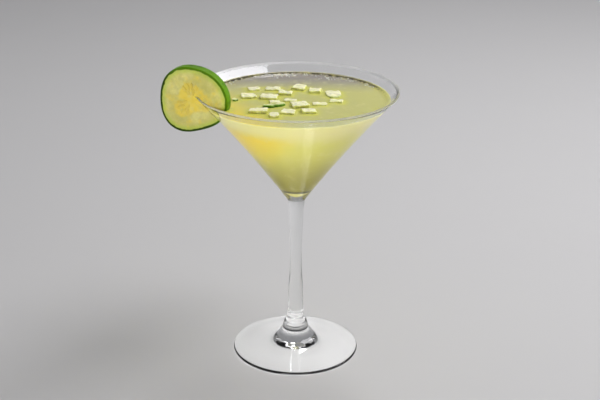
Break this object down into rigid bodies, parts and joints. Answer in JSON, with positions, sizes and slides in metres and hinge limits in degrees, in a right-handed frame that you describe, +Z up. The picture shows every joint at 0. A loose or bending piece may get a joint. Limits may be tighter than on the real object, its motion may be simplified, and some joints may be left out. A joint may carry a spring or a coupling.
{
  "type": "martini cocktail",
  "caption": "Stemmed cone-shaped cocktail glass filled with a cloudy pale green drink, with diced cucumber afloat and a round cucumber slice slit over the rim.",
  "frame": {"origin": "centre of the flat underside of the glass's foot, on the surface that it stands on", "axes": "+Z up along the stem, -Y towards the viewer of the front, +X to that viewer's right; the cucumber slice is on the -X side of the rim, a little towards the front"},
  "size_m": [0.1332, 0.115, 0.1786],
  "materials": {
    "clear_glass": "clear, smooth and glossy",
    "cloudy_drink": "cloudy yellow-green liquid with a wet, glossy surface",
    "cucumber": "moist pale green flesh with a darker green skin"
  },
  "bodies": {
    "root": {"glass": "clear_glass", "drink": "cloudy_drink", "cucumber_slice": "cucumber", "cucumber_dice_01": "cucumber", "cucumber_dice_02": "cucumber", "cucumber_dice_03": "cucumber", "cucumber_dice_04": "cucumber", "cucumber_dice_05": "cucumber", "cucumber_dice_06": "cucumber", "cucumber_dice_07": "cucumber", "cucumber_dice_08": "cucumber", "cucumber_dice_09": "cucumber", "cucumber_dice_10": "cucumber", "cucumber_dice_11": "cucumber", "cucumber_dice_12": "cucumber", "cucumber_dice_13": "cucumber", "cucumber_dice_14": "cucumber", "cucumber_dice_15": "cucumber", "cucumber_dice_16": "cucumber", "cucumber_dice_17": "cucumber", "cucumber_dice_18": "cucumber", "cucumber_dice_19": "cucumber"}
  },
  "joints": []
}
